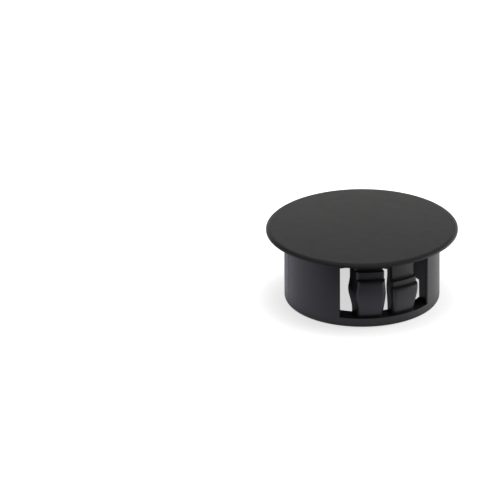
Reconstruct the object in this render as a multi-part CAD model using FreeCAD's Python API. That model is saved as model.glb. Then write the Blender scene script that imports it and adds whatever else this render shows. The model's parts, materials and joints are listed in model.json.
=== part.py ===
import FreeCAD, Part
import math
import os

# A snap-in plug that closes a 22.2 mm round hole in sheet. It is one moulding in black nylon:
# a thin round head, a hollow barrel that is open at the far end, and a window through the barrel
# on each side with two spring fingers in it. The fingers stand on the ring below the window, end
# free just under the head, bulge past the barrel and step back in near their tips, so that they
# snap behind the sheet and hold more than one sheet thickness.
# The plug stands on its open rim, which is Z = 0, with the head up. The windows face -Y and +Y,
# where the two side slides of the mould pull out. All dimensions are in millimetres.

# Head: a flat disc whose top rolls down to a thin upright edge. Its inner face, the windows'
# ceilings with it, lies a little deeper than the ring-shaped seat outside the barrel.
head_diameter = 27.0
head_edge_height = 0.2
head_roll_width = 0.6
head_roll_height = 0.3
head_inner_recess = 0.1

# Barrel: a plain tube under the head, a sliding fit in the 22.2 mm hole. The bore narrows
# towards the head, as it must to leave the mould's core.
hole_diameter = 22.2
hole_clearance = 0.3
barrel_depth = 10.25
wall_at_rim = 2.0
wall_at_head = 2.25
rim_outer_round = 0.5
rim_inner_chamfer = 0.8

# Windows: openings that reach up to the head. Their width is measured at the barrel's surface.
# The sides spread and the floor, the top of the rim ring, falls outwards a little, so that the
# slide leaves them freely. Drafts are in degrees.
window_width = 12.78
window_side_draft = 4.0
window_floor_height = 1.4
window_floor_rise = 0.2
window_edge_round = 0.2

# Fingers: two in each window. Seen from outside their sides are straight at the foot and the neck
# and swell between them to a belly, where the slot between the fingers is narrowest. The outer
# sides come closer outwards, and their spread is measured at the bore's radius from the middle.
finger_foot_height = 2.1
finger_belly_height = 5.1
finger_neck_height = 7.1
finger_slot = 1.1
finger_slot_at_belly = 0.82
finger_spread_at_foot = 8.5
finger_spread_at_belly = 9.35
finger_spread_at_neck = 8.9
finger_side_draft = 4.5
finger_tip_clearance = 1.1
finger_root_recess = 0.45
finger_bulge = 0.5
finger_edge_round = 0.65

# The land above the bulge is upright and ends in a rounded lip, the first step.
bulge_land = 0.8
bulge_lip_round = 0.5

# The steps near the tips: how far each one stands back from the barrel. On the right-hand finger,
# seen from outside with the head up, they lie lower than on the left one, so between them the two
# catch four thicknesses of sheet.
middle_step_recess = 0.15
tip_step_recess = 0.75
step_edge_chamfer = 0.25
right_step_heights = (5.7, 6.5)
left_step_heights = (7.25, 8.35)

# How far the tools of a cut reach past the surface that they cut.
cut_margin = 1.0

# Derived sizes.
head_radius = head_diameter / 2
barrel_radius = (hole_diameter - hole_clearance) / 2
bore_depth = barrel_depth + head_inner_recess
bore_radius_at_rim = barrel_radius - wall_at_rim
bore_radius_at_head = barrel_radius - wall_at_head
total_height = barrel_depth + head_edge_height + head_roll_height
finger_tip_height = barrel_depth - finger_tip_clearance
root_radius = barrel_radius - finger_root_recess
bulge_radius = barrel_radius + finger_bulge

axis_start = FreeCAD.Vector(0, 0, 0)
axis_direction = FreeCAD.Vector(0, 0, 1)


def bore_radius(height):
    """The drafted bore's radius at a height above the rim."""
    return bore_radius_at_rim + (bore_radius_at_head - bore_radius_at_rim) * height / bore_depth


def point(radius, height):
    return FreeCAD.Vector(radius, 0, height)


def line(start, end):
    return Part.LineSegment(point(*start), point(*end)).toShape()


def arc(centre, radius, start_angle, end_angle):
    """An arc of the section. Angles are in radians, from the outward direction upwards."""
    points = []
    for angle in (start_angle, (start_angle + end_angle) / 2, end_angle):
        points.append(point(centre[0] + radius * math.cos(angle), centre[1] + radius * math.sin(angle)))
    return Part.Arc(*points).toShape()


def revolved(edges):
    """The solid that a closed section makes when it turns about the plug's axis."""
    section = Part.Face(Part.Wire(edges))
    return section.revolve(axis_start, axis_direction, 360)


def plug_body():
    """Head, barrel and rim as one turned form, before the windows are cut."""
    flat_radius = head_radius - head_roll_width
    edge_top = barrel_depth + head_edge_height
    roll_radius = (head_roll_width ** 2 + head_roll_height ** 2) / (2 * head_roll_height)
    roll_angle = math.asin(head_roll_width / roll_radius)
    roll_centre = (flat_radius, total_height - roll_radius)
    flat_rim_radius = barrel_radius - rim_outer_round
    mouth_radius = bore_radius(rim_inner_chamfer) + rim_inner_chamfer
    return revolved([
        line((0, total_height), (flat_radius, total_height)),
        arc(roll_centre, roll_radius, math.pi / 2, math.pi / 2 - roll_angle),
        line((head_radius, edge_top), (head_radius, barrel_depth)),
        line((head_radius, barrel_depth), (barrel_radius, barrel_depth)),
        line((barrel_radius, barrel_depth), (barrel_radius, rim_outer_round)),
        arc((flat_rim_radius, rim_outer_round), rim_outer_round, 0, -math.pi / 2),
        line((flat_rim_radius, 0), (mouth_radius, 0)),
        line((mouth_radius, 0), (bore_radius(rim_inner_chamfer), rim_inner_chamfer)),
        line((bore_radius(rim_inner_chamfer), rim_inner_chamfer), (bore_radius_at_head, bore_depth)),
        line((bore_radius_at_head, bore_depth), (0, bore_depth)),
        line((0, bore_depth), (0, total_height)),
    ])


def window_slice(section):
    """The part of a turned section that lies between the sides of the window on the -Y side."""
    reach = bulge_radius + 2 * cut_margin
    surface = math.sqrt(barrel_radius ** 2 - (window_width / 2) ** 2)
    spread = math.tan(math.radians(window_side_draft))
    inner_half = window_width / 2 - surface * spread
    outer_half = window_width / 2 + (reach - surface) * spread
    corners = [
        FreeCAD.Vector(inner_half, 0, 0),
        FreeCAD.Vector(outer_half, -reach, 0),
        FreeCAD.Vector(-outer_half, -reach, 0),
        FreeCAD.Vector(-inner_half, 0, 0),
        FreeCAD.Vector(inner_half, 0, 0),
    ]
    block = Part.Face(Part.makePolygon(corners)).extrude(FreeCAD.Vector(0, 0, total_height))
    return revolved(section).common(block)


def window_cutter():
    """The space of one window, with a coned floor."""
    inner_radius = bore_radius_at_head - cut_margin
    outer_radius = bulge_radius + cut_margin
    slope = window_floor_rise / (barrel_radius - bore_radius(window_floor_height))
    inner_height = window_floor_height + slope * (barrel_radius - inner_radius)
    outer_height = window_floor_height - slope * (outer_radius - barrel_radius)
    return window_slice([
        line((inner_radius, inner_height), (outer_radius, outer_height)),
        line((outer_radius, outer_height), (outer_radius, barrel_depth)),
        line((outer_radius, barrel_depth), (inner_radius, barrel_depth)),
        line((inner_radius, barrel_depth), (inner_radius, inner_height)),
    ])


def ceiling_cutter():
    """The shallow recess that brings a window's ceiling to the depth of the head's inner face."""
    inner_radius = bore_radius_at_head - cut_margin
    return window_slice([
        line((inner_radius, barrel_depth), (barrel_radius, barrel_depth)),
        line((barrel_radius, barrel_depth), (barrel_radius, bore_depth)),
        line((barrel_radius, bore_depth), (inner_radius, bore_depth)),
        line((inner_radius, bore_depth), (inner_radius, barrel_depth)),
    ])


def both_sides(shape):
    """The shape and its copy on the +Y side."""
    return [shape, shape.rotated(axis_start, axis_direction, 180)]


def finger_side(side, at_foot, at_belly, at_neck, shift):
    """A finger's side as a smooth upright curve in the plane Y = 0, moved outwards by a shift."""
    stations = (
        (at_foot, 0),
        (at_foot, finger_foot_height),
        (at_belly, finger_belly_height),
        (at_neck, finger_neck_height),
        (at_neck, total_height),
    )
    curve = Part.BSplineCurve()
    curve.interpolate(
        Points=[FreeCAD.Vector(side * (width / 2 + shift), 0, height) for width, height in stations],
        Tangents=[axis_direction] * len(stations),
        TangentFlags=[True] * len(stations),
    )
    return curve


def block_beside(curve, across, direction):
    """What lies between a finger's side and the upright line at X = across, drawn out."""
    low_corner = FreeCAD.Vector(across, 0, 0)
    high_corner = FreeCAD.Vector(across, 0, total_height)
    edges = [
        curve.toShape(),
        Part.LineSegment(curve.EndPoint, high_corner).toShape(),
        Part.LineSegment(high_corner, low_corner).toShape(),
        Part.LineSegment(low_corner, curve.StartPoint).toShape(),
    ]
    return Part.Face(Part.Wire(edges)).extrude(direction)


def finger_block(side):
    """The block between a finger's two sides, on the +X side of the middle if side is 1."""
    reach = bulge_radius + cut_margin
    lean = math.tan(math.radians(finger_side_draft))
    slot_side = finger_side(side, finger_slot, finger_slot_at_belly, finger_slot, 0)
    outer_side = finger_side(
        side,
        finger_spread_at_foot,
        finger_spread_at_belly,
        finger_spread_at_neck,
        bore_radius_at_head * lean,
    )
    past_slot = block_beside(slot_side, side * head_radius, FreeCAD.Vector(0, -reach, 0))
    within_spread = block_beside(outer_side, 0, FreeCAD.Vector(-side * reach * lean, -reach, 0))
    return past_slot.common(within_spread)


def outer_corner_edges(stage):
    """The upright edges of a finger's stage that face away from the bore."""
    found = []
    for edge in stage.Edges:
        ends = [vertex.Point for vertex in edge.Vertexes]
        if len(ends) == 2 and abs(ends[0].z - ends[1].z) > 0.1:
            if min(math.hypot(end.x, end.y) for end in ends) > bore_radius_at_rim + 0.1:
                found.append(edge)
    return found


def bulge_section(top_height):
    """From inside the ring up to the lower step: an arc that swells to the bulge, then the land."""
    bulge_height = top_height - bulge_land
    run = bulge_radius - root_radius
    rise = bulge_height - window_floor_height
    swell_radius = (run ** 2 + rise ** 2) / (2 * run)
    centre = (bulge_radius - swell_radius, bulge_height)
    foot_height = window_floor_height / 2
    foot_angle = -math.asin((bulge_height - foot_height) / swell_radius)
    foot_radius = centre[0] + swell_radius * math.cos(foot_angle)
    return [
        line((bore_radius(foot_height), foot_height), (foot_radius, foot_height)),
        arc(centre, swell_radius, foot_angle, 0),
        line((bulge_radius, bulge_height), (bulge_radius, top_height)),
        line((bulge_radius, top_height), (bore_radius(top_height), top_height)),
        line((bore_radius(top_height), top_height), (bore_radius(foot_height), foot_height)),
    ]


def bulge_lip_cutter(top_height):
    """What the rounding of the lip takes off the bulge's outer top edge."""
    lip_bottom = top_height - bulge_lip_round
    lip_radius = bulge_radius - bulge_lip_round
    outside = bulge_radius + cut_margin
    above = top_height + cut_margin
    return revolved([
        arc((lip_radius, lip_bottom), bulge_lip_round, 0, math.pi / 2),
        line((lip_radius, top_height), (lip_radius, above)),
        line((lip_radius, above), (outside, above)),
        line((outside, above), (outside, lip_bottom)),
        line((outside, lip_bottom), (bulge_radius, lip_bottom)),
    ])


def step_section(recess, low, high):
    """A stage above the bulge, which stands back from the barrel's surface."""
    radius = barrel_radius - recess
    return [
        line((bore_radius(low), low), (radius, low)),
        line((radius, low), (radius, high)),
        line((radius, high), (bore_radius(high), high)),
        line((bore_radius(high), high), (bore_radius(low), low)),
    ]


def finger(side, step_heights):
    """One spring finger of the -Y window: the bulge with two steps on top."""
    block = finger_block(side)
    lower_step, upper_step = step_heights
    bulge = revolved(bulge_section(lower_step)).common(block)
    bulge = bulge.makeFillet(finger_edge_round, outer_corner_edges(bulge))
    spring = bulge.cut(bulge_lip_cutter(lower_step))
    for recess, low, high in (
        (middle_step_recess, lower_step, upper_step),
        (tip_step_recess, upper_step, finger_tip_height),
    ):
        stage = revolved(step_section(recess, low, high)).common(block)
        spring = spring.fuse(stage.makeChamfer(step_edge_chamfer, outer_corner_edges(stage)))
    return spring.removeSplitter()


def window_side_edges(shape):
    """The upright outer edges of the windows, where a side wall meets the barrel's outside."""
    found = []
    for edge in shape.Edges:
        ends = [vertex.Point for vertex in edge.Vertexes]
        if len(ends) != 2 or abs(ends[0].z - ends[1].z) < 1:
            continue
        on_side = all(abs(abs(end.x) - window_width / 2) < 1e-4 for end in ends)
        on_barrel = all(abs(math.hypot(end.x, end.y) - barrel_radius) < 1e-4 for end in ends)
        if on_side and on_barrel:
            found.append(edge)
    return found


plug = plug_body()
plug = plug.cut(both_sides(window_cutter()))
plug = plug.makeFillet(window_edge_round, window_side_edges(plug))
plug = plug.cut(both_sides(ceiling_cutter()))
plug = plug.fuse(both_sides(finger(1, right_step_heights)))
plug = plug.fuse(both_sides(finger(-1, left_step_heights)))
plug = plug.removeSplitter()

if len(plug.Solids) != 1 or not plug.isValid():
    raise RuntimeError("the plug is not one valid solid")
plug = plug.Solids[0]

os.makedirs("parts", exist_ok=True)
plug.exportStep("parts/hole_plug.step")
print("volume mm3", round(plug.Volume, 2), "faces", len(plug.Faces), "box", plug.BoundBox)
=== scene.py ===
import json
import math

import bmesh
import bpy
from bpy.props import FloatProperty, FloatVectorProperty, PointerProperty
from mathutils import Matrix, Vector


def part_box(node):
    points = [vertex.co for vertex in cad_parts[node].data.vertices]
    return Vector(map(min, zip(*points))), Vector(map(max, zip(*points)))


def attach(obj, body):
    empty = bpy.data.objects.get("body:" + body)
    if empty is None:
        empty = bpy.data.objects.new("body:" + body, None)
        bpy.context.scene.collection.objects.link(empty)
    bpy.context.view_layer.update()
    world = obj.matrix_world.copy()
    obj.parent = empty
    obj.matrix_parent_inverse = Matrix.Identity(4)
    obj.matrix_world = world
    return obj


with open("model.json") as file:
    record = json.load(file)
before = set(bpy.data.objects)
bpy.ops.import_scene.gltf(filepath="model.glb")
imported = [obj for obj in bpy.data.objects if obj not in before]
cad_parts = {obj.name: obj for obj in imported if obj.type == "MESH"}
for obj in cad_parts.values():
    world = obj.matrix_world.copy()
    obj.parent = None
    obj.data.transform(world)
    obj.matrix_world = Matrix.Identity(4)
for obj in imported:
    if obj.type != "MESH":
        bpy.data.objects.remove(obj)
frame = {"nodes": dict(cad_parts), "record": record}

bl_info = {
    "name": "Snap-in hole plug",
    "version": (1, 0, 0),
    "blender": (4, 5, 0),
    "location": "View3D > Sidebar > Hole Plug",
    "description": "Finishes a moulded black nylon hole plug and sets it in a plain studio",
    "category": "Object",
}

PLUG = "hole_plug"
BODY = "root"
MM = 0.001
FLASH = "Black nylon flash"

# The parting lines: how far they end from the head's edge, and how round their backs are.
SEAT_LINE_MARGIN = 0.5 * MM
LINE_ROUND = 0.9

# The gate's mark: a low pad, then the stub's steps as shares of its height with their tapers.
GATE_SIDES = 48
GATE_PAD_DEPTH = 2.2
GATE_PAD_TAPER = 0.93
GATE_STUB_INSET = 0.4
GATE_STUB_STEPS = ((0.3, 0.8), (0.5, 0.9), (0.2, 0.6))

plug_low, plug_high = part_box(PLUG)
HEAD_RADIUS = (plug_high.x - plug_low.x) / 2
MOUNTS = {mount["name"]: Vector(mount["pos_m"]) for mount in frame["record"]["mounts"]}
HEAD_SEAT_HEIGHT = MOUNTS["head_seat"].z


# The photograph's frame: where the middle of the plug's rim lies in it, and how large the head is.
IMAGE_SIZE = 500
SENSOR_WIDTH = 36
RIM_CENTRE_PIXEL = (361.93, 295.48)
HEAD_RADIUS_PIXELS = 95.55

# The floor, in metres and in radii of the head from the plug's axis.
FLOOR_SIZE = 6.0
# Painted shadow on the floor as the camera sees it: its glow dims under the plug between these radii.
PAINTED_SHADOW_STARTS = 0.82 * HEAD_RADIUS
PAINTED_SHADOW_ENDS = 1.5 * HEAD_RADIUS
# Painted contact shadow on the floor in the plug's gloss, between these radii.
PAINTED_CONTACT_SHADOW_STARTS = 0.70 * HEAD_RADIUS
PAINTED_CONTACT_SHADOW_ENDS = 1.0 * HEAD_RADIUS
# Painted light on the floor in the plug's gloss: brighter and less cool to the right between these
# distances.
PAINTED_LIGHT_RIGHT_STARTS = 0.3 * HEAD_RADIUS
PAINTED_LIGHT_RIGHT_ENDS = 1.2 * HEAD_RADIUS
# Painted shade on the floor in the plug's gloss, far in front, between these distances.
PAINTED_FRONT_SHADE_STARTS = 1.2 * HEAD_RADIUS
PAINTED_FRONT_SHADE_ENDS = 2.1 * HEAD_RADIUS

# The floor's own glow for the camera, on top of its lit white: dimmed under the plug as a painted shadow,
# and full away from it.
FLOOR_GLOW_IN_PAINTED_SHADOW = 0.64
FLOOR_WHITE = 1.0

# What is left of the floor's brightness in the plug's gloss under painted shade: a painted contact shadow
# close by the plug, and painted shade far in front.
PAINTED_CONTACT_SHADOW = 0.2
PAINTED_FRONT_SHADE = 0.22

WHITE = (1, 1, 1, 1)
FLOOR_BOUNCE = (0.7, 0.7, 0.7, 1)
# Cool tint of the painted light in the plug's gloss, on the floor's dimmer left side.
COOL_PAINTED_LIGHT = (0.895, 0.865, 1.0, 1)
WARM_LAMP = (1.0, 0.985, 0.96)


class NylonFinish(bpy.types.PropertyGroup):
    """The moulded surface."""

    colour: FloatVectorProperty(
        name="Colour", description="Colour of the nylon", subtype="COLOR", size=3,
        min=0, max=1, default=(0.016, 0.016, 0.017),
    )
    roughness: FloatProperty(
        name="Roughness", description="Middle roughness of the surface", subtype="FACTOR",
        min=0, max=1, default=0.42,
    )
    cloud_size: FloatProperty(
        name="Cloud size", description="Width of the soft patches in the gloss",
        subtype="DISTANCE", unit="LENGTH", default=1.6 * MM,
    )
    grain_size: FloatProperty(
        name="Grain size", description="Width of the fine moulded grain",
        subtype="DISTANCE", unit="LENGTH", default=0.11 * MM,
    )
    grain_depth: FloatProperty(
        name="Grain depth", description="Depth of the fine moulded grain",
        subtype="DISTANCE", unit="LENGTH", default=0.0025 * MM,
    )


class MouldMarks(bpy.types.PropertyGroup):
    """The fine lines where the mould's parts meet, and the gate."""

    line_width: FloatProperty(
        name="Line width", description="Width of a parting line",
        subtype="DISTANCE", unit="LENGTH", default=0.07 * MM,
    )
    line_height: FloatProperty(
        name="Line height", description="How far a parting line stands proud",
        subtype="DISTANCE", unit="LENGTH", default=0.018 * MM,
    )
    barrel_radius: FloatProperty(
        name="Barrel radius", description="Radius at which the lines run up the barrel",
        subtype="DISTANCE", unit="LENGTH", default=10.95 * MM,
    )
    rim_round: FloatProperty(
        name="Rim round", description="Height above the rim at which the lines start",
        subtype="DISTANCE", unit="LENGTH", default=0.5 * MM,
    )
    shut_off_offset: FloatProperty(
        name="Shut-off offset", description="Distance from the middle to the line where the slide ends",
        subtype="DISTANCE", unit="LENGTH", default=6.9 * MM,
    )
    shut_off_length: FloatProperty(
        name="Shut-off length", description="Length of the line where the slide ends",
        subtype="DISTANCE", unit="LENGTH", default=10.2 * MM,
    )
    inner_recess: FloatProperty(
        name="Inner recess", description="Height of the head's inner face above its seat",
        subtype="DISTANCE", unit="LENGTH", default=0.1 * MM,
    )
    gate_radius: FloatProperty(
        name="Gate radius", description="Radius of the gate's mark on the head's inner face",
        subtype="DISTANCE", unit="LENGTH", default=0.9 * MM,
    )
    gate_height: FloatProperty(
        name="Gate height", description="How far the gate's torn stub stands proud",
        subtype="DISTANCE", unit="LENGTH", default=0.16 * MM,
    )


class Studio(bpy.types.PropertyGroup):
    """Camera and light."""

    azimuth: FloatProperty(
        name="Azimuth", description="Direction of the camera, 0 in front of a window",
        subtype="ANGLE", default=math.radians(-20.07),
    )
    elevation: FloatProperty(
        name="Elevation", description="Height of the camera above the horizon",
        subtype="ANGLE", default=math.radians(24.5),
    )
    distance: FloatProperty(
        name="Distance", description="From the camera to the middle of the rim",
        subtype="DISTANCE", unit="LENGTH", default=0.81,
    )
    surround: FloatProperty(
        name="Surround", description="Brightness of the studio's walls", min=0, default=0.22,
    )
    floor_glow: FloatProperty(
        name="Floor glow", description="Brightness of the floor in the plug's gloss", min=0, default=0.94,
    )
    # Painted light: the floor in the plug's gloss is brighter on the right.
    floor_glow_right: FloatProperty(
        name="Floor glow, right", description="The same on the right, where the light is stronger",
        min=0, default=1.0,
    )
    top_light: FloatProperty(
        name="Top light", description="Brightness of the softbox overhead", min=0, default=0.45,
    )
    back_light: FloatProperty(
        name="Back light", description="Brightness of the high softbox behind", min=0, default=0.10,
    )
    near_light: FloatProperty(
        name="Near light", description="Brightness of the low softbox close behind", min=0, default=0.59,
    )
    right_light: FloatProperty(
        name="Right light", description="Brightness of the low softbox on the right", min=0, default=10.0,
    )


def deselect_all():
    bpy.ops.object.select_all(action="DESELECT")


def add_node(tree, kind, **inputs):
    """A node of the given kind with some of its inputs set by name."""
    node = tree.nodes.new(kind)
    for name, value in inputs.items():
        node.inputs[name].default_value = value
    return node


def moulded_grain_group():
    """Soft clouds in the gloss and a fine grain in the surface, for every moulded finish."""
    group = bpy.data.node_groups.new("Moulded grain", "ShaderNodeTree")
    face = group.interface
    for name in ("Roughness", "Cloud scale", "Cloud strength", "Grain scale", "Grain depth"):
        face.new_socket(name=name, in_out="INPUT", socket_type="NodeSocketFloat")
    face.new_socket(name="Tint strength", in_out="INPUT", socket_type="NodeSocketFloat")
    face.new_socket(name="Base", in_out="INPUT", socket_type="NodeSocketColor")
    face.new_socket(name="Colour", in_out="OUTPUT", socket_type="NodeSocketColor")
    face.new_socket(name="Roughness", in_out="OUTPUT", socket_type="NodeSocketFloat")
    face.new_socket(name="Normal", in_out="OUTPUT", socket_type="NodeSocketVector")
    given = group.nodes.new("NodeGroupInput")
    result = group.nodes.new("NodeGroupOutput")
    link = group.links.new
    place = group.nodes.new("ShaderNodeTexCoord")

    clouds = add_node(group, "ShaderNodeTexNoise", Detail=3.0, Roughness=0.55)
    link(place.outputs["Object"], clouds.inputs["Vector"])
    link(given.outputs["Cloud scale"], clouds.inputs["Scale"])
    centred = add_node(group, "ShaderNodeMath")
    centred.operation = "SUBTRACT"
    centred.inputs[1].default_value = 0.5
    link(clouds.outputs["Fac"], centred.inputs[0])
    spread = group.nodes.new("ShaderNodeMath")
    spread.operation = "MULTIPLY_ADD"
    link(centred.outputs[0], spread.inputs[0])
    link(given.outputs["Cloud strength"], spread.inputs[1])
    link(given.outputs["Roughness"], spread.inputs[2])
    link(spread.outputs[0], result.inputs["Roughness"])

    lighter = group.nodes.new("ShaderNodeMath")
    lighter.operation = "MULTIPLY_ADD"
    lighter.inputs[2].default_value = 1.0
    link(centred.outputs[0], lighter.inputs[0])
    link(given.outputs["Tint strength"], lighter.inputs[1])
    tint = group.nodes.new("ShaderNodeVectorMath")
    tint.operation = "SCALE"
    link(given.outputs["Base"], tint.inputs[0])
    link(lighter.outputs[0], tint.inputs["Scale"])
    link(tint.outputs[0], result.inputs["Colour"])

    grain = add_node(group, "ShaderNodeTexNoise", Detail=2.0, Roughness=0.5)
    link(place.outputs["Object"], grain.inputs["Vector"])
    link(given.outputs["Grain scale"], grain.inputs["Scale"])
    height = group.nodes.new("ShaderNodeMath")
    height.operation = "MULTIPLY"
    link(grain.outputs["Fac"], height.inputs[0])
    link(given.outputs["Grain depth"], height.inputs[1])
    bump = add_node(group, "ShaderNodeBump", Strength=1.0, Distance=1.0)
    link(height.outputs[0], bump.inputs["Height"])
    link(bump.outputs["Normal"], result.inputs["Normal"])
    return group


def nylon_material(name, grain_group, finish, roughness_shift, cloud_strength):
    """Black nylon as moulded: satin, with a little uneven gloss."""
    material = bpy.data.materials.new(name)
    material.use_nodes = True
    tree = material.node_tree
    shader = tree.nodes["Principled BSDF"]
    shader.inputs["IOR"].default_value = 1.5
    shader.inputs["Specular IOR Level"].default_value = 0.5
    grain = tree.nodes.new("ShaderNodeGroup")
    grain.node_tree = grain_group
    grain.inputs["Roughness"].default_value = finish.roughness + roughness_shift
    grain.inputs["Cloud scale"].default_value = 1 / finish.cloud_size
    grain.inputs["Cloud strength"].default_value = cloud_strength
    grain.inputs["Grain scale"].default_value = 1 / finish.grain_size
    grain.inputs["Grain depth"].default_value = finish.grain_depth
    grain.inputs["Tint strength"].default_value = 0.25
    grain.inputs["Base"].default_value = (*finish.colour, 1)
    tree.links.new(grain.outputs["Colour"], shader.inputs["Base Color"])
    tree.links.new(grain.outputs["Roughness"], shader.inputs["Roughness"])
    tree.links.new(grain.outputs["Normal"], shader.inputs["Normal"])
    return material


def assign(obj, material):
    obj.data.materials.clear()
    obj.data.materials.append(material)


def finish_piece(obj, name, material):
    """Names a new piece, puts its place into its mesh and ties it to the plug."""
    deselect_all()
    obj.select_set(True)
    bpy.context.view_layer.objects.active = obj
    bpy.ops.object.transform_apply(location=True, rotation=True, scale=True)
    obj.name = name
    obj.data.name = name
    assign(obj, material)
    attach(obj, BODY)


class PLUG_OT_nylon(bpy.types.Operator):
    """Gives the moulding its black nylon"""

    bl_idname = "plug.nylon"
    bl_label = "Nylon finish"

    def execute(self, context):
        finish = context.scene.nylon_finish
        group = moulded_grain_group()
        body = nylon_material("Black nylon", group, finish, roughness_shift=0.0, cloud_strength=0.12)
        assign(frame["nodes"][PLUG], body)
        nylon_material(FLASH, group, finish, roughness_shift=-0.08, cloud_strength=0.05)
        return {"FINISHED"}


class PLUG_OT_parting_lines(bpy.types.Operator):
    """Adds the fine ridges where the two halves and the slides of the mould meet"""

    bl_idname = "plug.parting_lines"
    bl_label = "Parting lines"

    def execute(self, context):
        marks = context.scene.mould_marks
        up = Vector((0, 0, 1))
        across = Vector((1, 0, 0))
        barrel_length = HEAD_SEAT_HEIGHT - marks.rim_round
        seat_length = HEAD_RADIUS - marks.barrel_radius - SEAT_LINE_MARGIN
        inner_height = HEAD_SEAT_HEIGHT + marks.inner_recess
        for side, label in ((1, "right"), (-1, "left")):
            out = side * across
            middle = out * marks.barrel_radius + up * (marks.rim_round + barrel_length / 2)
            flash_line("barrel_line_" + label, marks, middle, up, out, barrel_length)
            middle = out * (marks.barrel_radius + seat_length / 2) + up * HEAD_SEAT_HEIGHT
            flash_line("seat_line_" + label, marks, middle, out, -up, seat_length)
        for side, label in ((-1, "front"), (1, "back")):
            middle = Vector((0, side * marks.shut_off_offset, inner_height))
            flash_line("slide_line_" + label, marks, middle, across, -up, marks.shut_off_length)
        return {"FINISHED"}


def flash_line(name, marks, middle, along, outward, length):
    """A low ridge with a rounded back, half of it sunk into the moulding."""
    deselect_all()
    bpy.ops.mesh.primitive_cube_add(size=1, location=(0, 0, 0))
    ridge = bpy.context.object
    ridge.scale = (length, marks.line_width, 2 * marks.line_height)
    bpy.ops.object.transform_apply(location=False, rotation=False, scale=True)
    bpy.ops.object.mode_set(mode="EDIT")
    bpy.ops.mesh.select_all(action="DESELECT")
    mesh = bmesh.from_edit_mesh(ridge.data)
    for edge in mesh.edges:
        first, second = (vertex.co for vertex in edge.verts)
        if first.z > 0 and second.z > 0 and abs(first.x - second.x) > length / 2:
            edge.select_set(True)
    bmesh.update_edit_mesh(ridge.data)
    bpy.ops.mesh.bevel(offset=marks.line_height * LINE_ROUND, segments=3)
    bpy.ops.object.mode_set(mode="OBJECT")
    turn = Matrix((along, outward.cross(along), outward)).transposed().to_4x4()
    ridge.matrix_world = Matrix.Translation(middle) @ turn
    finish_piece(ridge, name, bpy.data.materials[FLASH])


class PLUG_OT_gate_mark(bpy.types.Operator):
    """Adds the gate's mark in the middle of the head's inner face"""

    bl_idname = "plug.gate_mark"
    bl_label = "Gate mark"

    def execute(self, context):
        marks = context.scene.mould_marks
        inner_height = HEAD_SEAT_HEIGHT + marks.inner_recess
        deselect_all()
        bpy.ops.mesh.primitive_circle_add(
            vertices=GATE_SIDES, radius=marks.gate_radius, fill_type="NGON",
            location=(0, 0, inner_height + marks.line_height),
        )
        gate = bpy.context.object
        bpy.ops.object.mode_set(mode="EDIT")
        bpy.ops.mesh.select_all(action="SELECT")
        pull_down(GATE_PAD_DEPTH * marks.line_height, GATE_PAD_TAPER)
        bpy.ops.mesh.inset(thickness=GATE_STUB_INSET * marks.gate_radius)
        for share, taper in GATE_STUB_STEPS:
            pull_down(share * marks.gate_height, taper)
        bpy.ops.mesh.select_all(action="SELECT")
        bpy.ops.mesh.normals_make_consistent(inside=False)
        bpy.ops.object.mode_set(mode="OBJECT")
        bpy.ops.object.shade_smooth_by_angle(angle=math.radians(35))
        finish_piece(gate, "gate_mark", bpy.data.materials[FLASH])
        return {"FINISHED"}


def pull_down(depth, scale):
    """Extrudes the selected face downwards and narrows its end."""
    bpy.ops.mesh.extrude_region_move(TRANSFORM_OT_translate={"value": (0, 0, -depth)})
    bpy.ops.transform.resize(value=(scale, scale, 1))


class PLUG_OT_stage(bpy.types.Operator):
    """Floor, light and camera"""

    bl_idname = "plug.stage"
    bl_label = "Studio"

    def execute(self, context):
        studio = context.scene.plug_studio
        make_floor(studio)
        make_surround(studio)
        make_softboxes(studio)
        make_camera(studio)
        return {"FINISHED"}


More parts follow.
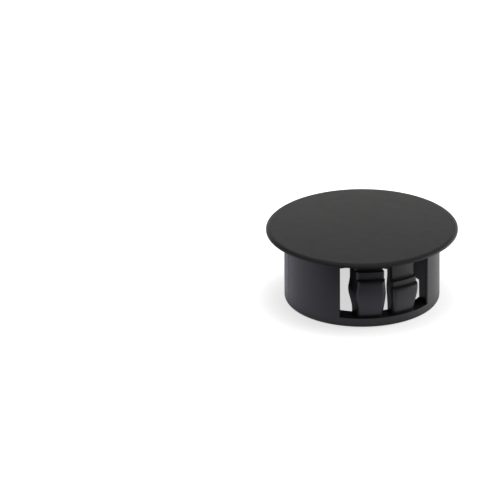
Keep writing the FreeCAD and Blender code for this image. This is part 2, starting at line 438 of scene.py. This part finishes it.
def make_floor(studio):
    """A white floor with the plug's soft shadow, partly cast and partly painted under the plug; from
    below it is clear, to show the hollow.
    """
    deselect_all()
    bpy.ops.mesh.primitive_plane_add(size=FLOOR_SIZE, location=(0, 0, 0))
    floor = bpy.context.object
    floor.name = "floor"
    material = bpy.data.materials.new("White floor")
    material.use_nodes = True
    tree = material.node_tree
    tree.nodes.clear()
    link = tree.links.new
    path = tree.nodes.new("ShaderNodeLightPath")
    bounce = add_node(tree, "ShaderNodeBsdfDiffuse", Color=FLOOR_BOUNCE)
    lit = add_node(tree, "ShaderNodeBsdfDiffuse", Color=WHITE)
    glow = add_node(tree, "ShaderNodeEmission", Color=WHITE)
    away = distance_from_axis(tree)
    # Painted shadow: the camera's glow of the floor dims under the plug.
    painted_shadow_glow = ramp_between(tree, away, PAINTED_SHADOW_STARTS, PAINTED_SHADOW_ENDS, FLOOR_GLOW_IN_PAINTED_SHADOW, FLOOR_WHITE)
    link(painted_shadow_glow, glow.inputs["Strength"])
    seen = tree.nodes.new("ShaderNodeAddShader")
    link(lit.outputs[0], seen.inputs[0])
    link(glow.outputs[0], seen.inputs[1])
    mirrored = tree.nodes.new("ShaderNodeEmission")
    brightness, colour = glow_across_floor(tree, studio)
    link(brightness, mirrored.inputs["Strength"])
    link(colour, mirrored.inputs["Color"])
    reflected = tree.nodes.new("ShaderNodeMath")
    reflected.operation = "MAXIMUM"
    link(path.outputs["Is Glossy Ray"], reflected.inputs[0])
    link(path.outputs["Is Transmission Ray"], reflected.inputs[1])
    not_seen = tree.nodes.new("ShaderNodeMixShader")
    link(reflected.outputs[0], not_seen.inputs[0])
    link(bounce.outputs[0], not_seen.inputs[1])
    link(mirrored.outputs[0], not_seen.inputs[2])
    whole = tree.nodes.new("ShaderNodeMixShader")
    link(path.outputs["Is Camera Ray"], whole.inputs[0])
    link(not_seen.outputs[0], whole.inputs[1])
    link(seen.outputs[0], whole.inputs[2])
    side = tree.nodes.new("ShaderNodeNewGeometry")
    clear = tree.nodes.new("ShaderNodeBsdfTransparent")
    one_way = tree.nodes.new("ShaderNodeMixShader")
    link(side.outputs["Backfacing"], one_way.inputs[0])
    link(whole.outputs[0], one_way.inputs[1])
    link(clear.outputs[0], one_way.inputs[2])
    output = tree.nodes.new("ShaderNodeOutputMaterial")
    link(one_way.outputs[0], output.inputs["Surface"])
    assign(floor, material)


def distance_from_axis(tree):
    """How far a point of the floor is from the plug's axis."""
    place = tree.nodes.new("ShaderNodeTexCoord")
    away = tree.nodes.new("ShaderNodeVectorMath")
    away.operation = "LENGTH"
    tree.links.new(place.outputs["Object"], away.inputs[0])
    return away.outputs["Value"]


def distance_along(tree, direction):
    """How far a point of the floor is from the plug's axis in one direction."""
    place = tree.nodes.new("ShaderNodeTexCoord")
    along = tree.nodes.new("ShaderNodeVectorMath")
    along.operation = "DOT_PRODUCT"
    along.inputs[1].default_value = direction
    tree.links.new(place.outputs["Object"], along.inputs[0])
    return along.outputs["Value"]


def ramp_between(tree, value, lowest, highest, first, last):
    """A smooth step from one value to another along a measure."""
    ramp = tree.nodes.new("ShaderNodeMapRange")
    ramp.interpolation_type = "SMOOTHSTEP"
    ramp.inputs["From Min"].default_value = lowest
    ramp.inputs["From Max"].default_value = highest
    ramp.inputs["To Min"].default_value = first
    ramp.inputs["To Max"].default_value = last
    tree.links.new(value, ramp.inputs["Value"])
    return ramp.outputs["Result"]


def product(tree, first, second):
    """Two brightness factors multiplied."""
    node = tree.nodes.new("ShaderNodeMath")
    node.operation = "MULTIPLY"
    tree.links.new(first, node.inputs[0])
    tree.links.new(second, node.inputs[1])
    return node.outputs[0]


def glow_across_floor(tree, studio):
    """How the floor looks in the plug's gloss, with painted light and shade: brighter to the right, a
    painted contact shadow by the plug and painted shade in front.
    """
    across = distance_along(tree, (math.cos(studio.azimuth), math.sin(studio.azimuth), 0))
    front = distance_along(tree, towards(studio.azimuth, 0))
    # Painted light, brighter to the right.
    painted_light_right = ramp_between(
        tree, across, PAINTED_LIGHT_RIGHT_STARTS, PAINTED_LIGHT_RIGHT_ENDS, studio.floor_glow, studio.floor_glow_right,
    )
    # Painted contact shadow by the plug.
    painted_contact_shadow = ramp_between(
        tree, distance_from_axis(tree), PAINTED_CONTACT_SHADOW_STARTS, PAINTED_CONTACT_SHADOW_ENDS, PAINTED_CONTACT_SHADOW, 1,
    )
    # Painted shade far in front.
    painted_front_shade = ramp_between(tree, front, PAINTED_FRONT_SHADE_STARTS, PAINTED_FRONT_SHADE_ENDS, 1, PAINTED_FRONT_SHADE)
    brightness = product(tree, painted_light_right, product(tree, painted_front_shade, painted_contact_shadow))
    # Colour of the painted light: cool on the left, white on the right.
    colour = tree.nodes.new("ShaderNodeMix")
    colour.data_type = "RGBA"
    colour.inputs["A"].default_value = COOL_PAINTED_LIGHT
    colour.inputs["B"].default_value = WHITE
    mixing = ramp_between(tree, across, PAINTED_LIGHT_RIGHT_STARTS, PAINTED_LIGHT_RIGHT_ENDS, 0, 1)
    tree.links.new(mixing, colour.inputs["Factor"])
    return brightness, colour.outputs["Result"]


def make_surround(studio):
    """White to the camera; to the plug, the grey walls of a studio."""
    world = bpy.data.worlds.new("Studio")
    bpy.context.scene.world = world
    world.use_nodes = True
    tree = world.node_tree
    tree.nodes.clear()
    link = tree.links.new
    path = tree.nodes.new("ShaderNodeLightPath")
    walls = add_node(tree, "ShaderNodeBackground", Color=WHITE, Strength=studio.surround)
    white = add_node(tree, "ShaderNodeBackground", Color=WHITE, Strength=1.0)
    choice = tree.nodes.new("ShaderNodeMixShader")
    link(path.outputs["Is Camera Ray"], choice.inputs[0])
    link(walls.outputs[0], choice.inputs[1])
    link(white.outputs[0], choice.inputs[2])
    output = tree.nodes.new("ShaderNodeOutputWorld")
    link(choice.outputs[0], output.inputs["Surface"])


def towards(azimuth, elevation):
    """The direction from the plug to a point round it, in the camera's own convention."""
    return Vector((
        math.sin(azimuth) * math.cos(elevation),
        -math.cos(azimuth) * math.cos(elevation),
        math.sin(elevation),
    ))


def softbox(name, azimuth, elevation, distance, width, height, brightness):
    """An area light that faces the plug and looks this bright in it."""
    deselect_all()
    direction = towards(azimuth, elevation)
    bpy.ops.object.light_add(type="AREA", location=direction * distance)
    lamp = bpy.context.object
    lamp.name = name
    lamp.rotation_euler = direction.to_track_quat("Z", "Y").to_euler()
    lamp.data.shape = "RECTANGLE"
    lamp.data.size = width
    lamp.data.size_y = height
    lamp.data.energy = brightness * math.pi * width * height
    lamp.data.color = WARM_LAMP
    lamp.visible_camera = False


def make_softboxes(studio):
    """Four softboxes, each with its side and height in degrees and its distance and size in metres."""
    boxes = (
        ("top_softbox", 180, 85, 0.40, 0.30, 0.30, studio.top_light),
        ("back_softbox", 180, 50, 0.50, 0.50, 0.20, studio.back_light),
        ("near_softbox", 180, 25, 0.05, 0.12, 0.02, studio.near_light),
        ("right_softbox", 105, 8, 0.25, 0.20, 0.07, studio.right_light),
    )
    for name, side, height, distance, width, length, brightness in boxes:
        azimuth = studio.azimuth + math.radians(side)
        softbox(name, azimuth, math.radians(height), distance, width, length, brightness)


def make_camera(studio):
    """A long lens at the photograph's angle, turned so that the plug lies where it does there."""
    direction = towards(studio.azimuth, studio.elevation)
    pixels_per_radian = HEAD_RADIUS_PIXELS * studio.distance / HEAD_RADIUS
    across = RIM_CENTRE_PIXEL[0] - IMAGE_SIZE / 2
    down = RIM_CENTRE_PIXEL[1] - IMAGE_SIZE / 2
    data = bpy.data.cameras.new("camera")
    camera = bpy.data.objects.new("camera", data)
    bpy.context.scene.collection.objects.link(camera)
    data.sensor_width = SENSOR_WIDTH
    data.lens = pixels_per_radian / IMAGE_SIZE * SENSOR_WIDTH
    data.clip_start = 0.05
    data.clip_end = 10
    aim = direction.to_track_quat("Z", "Y").to_matrix().to_4x4()
    turn = Matrix.Rotation(math.atan(across / pixels_per_radian), 4, "Y")
    tilt = Matrix.Rotation(math.atan(down / pixels_per_radian), 4, "X")
    camera.matrix_world = Matrix.Translation(direction * studio.distance) @ aim @ turn @ tilt
    bpy.context.scene.camera = camera


class PLUG_PT_panel(bpy.types.Panel):
    """The plug's operators in the sidebar"""

    bl_label = "Hole Plug"
    bl_idname = "PLUG_PT_panel"
    bl_space_type = "VIEW_3D"
    bl_region_type = "UI"
    bl_category = "Hole Plug"

    def draw(self, context):
        scene = context.scene
        for group in (scene.nylon_finish, scene.mould_marks, scene.plug_studio):
            box = self.layout.box()
            for name in group.__annotations__:
                box.prop(group, name)
        for operator in OPERATORS:
            self.layout.operator(operator.bl_idname)


OPERATORS = (PLUG_OT_nylon, PLUG_OT_parting_lines, PLUG_OT_gate_mark, PLUG_OT_stage)
GROUPS = (NylonFinish, MouldMarks, Studio)


def register():
    for cls in GROUPS + OPERATORS + (PLUG_PT_panel,):
        bpy.utils.register_class(cls)
    bpy.types.Scene.nylon_finish = PointerProperty(type=NylonFinish)
    bpy.types.Scene.mould_marks = PointerProperty(type=MouldMarks)
    bpy.types.Scene.plug_studio = PointerProperty(type=Studio)


def unregister():
    del bpy.types.Scene.plug_studio
    del bpy.types.Scene.mould_marks
    del bpy.types.Scene.nylon_finish
    for cls in reversed(GROUPS + OPERATORS + (PLUG_PT_panel,)):
        bpy.utils.unregister_class(cls)


def main():
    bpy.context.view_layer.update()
    register()
    bpy.context.scene.view_settings.view_transform = "Standard"
    bpy.ops.plug.nylon()
    bpy.ops.plug.parting_lines()
    bpy.ops.plug.gate_mark()
    bpy.ops.plug.stage()


if __name__ == "__main__":
    main()
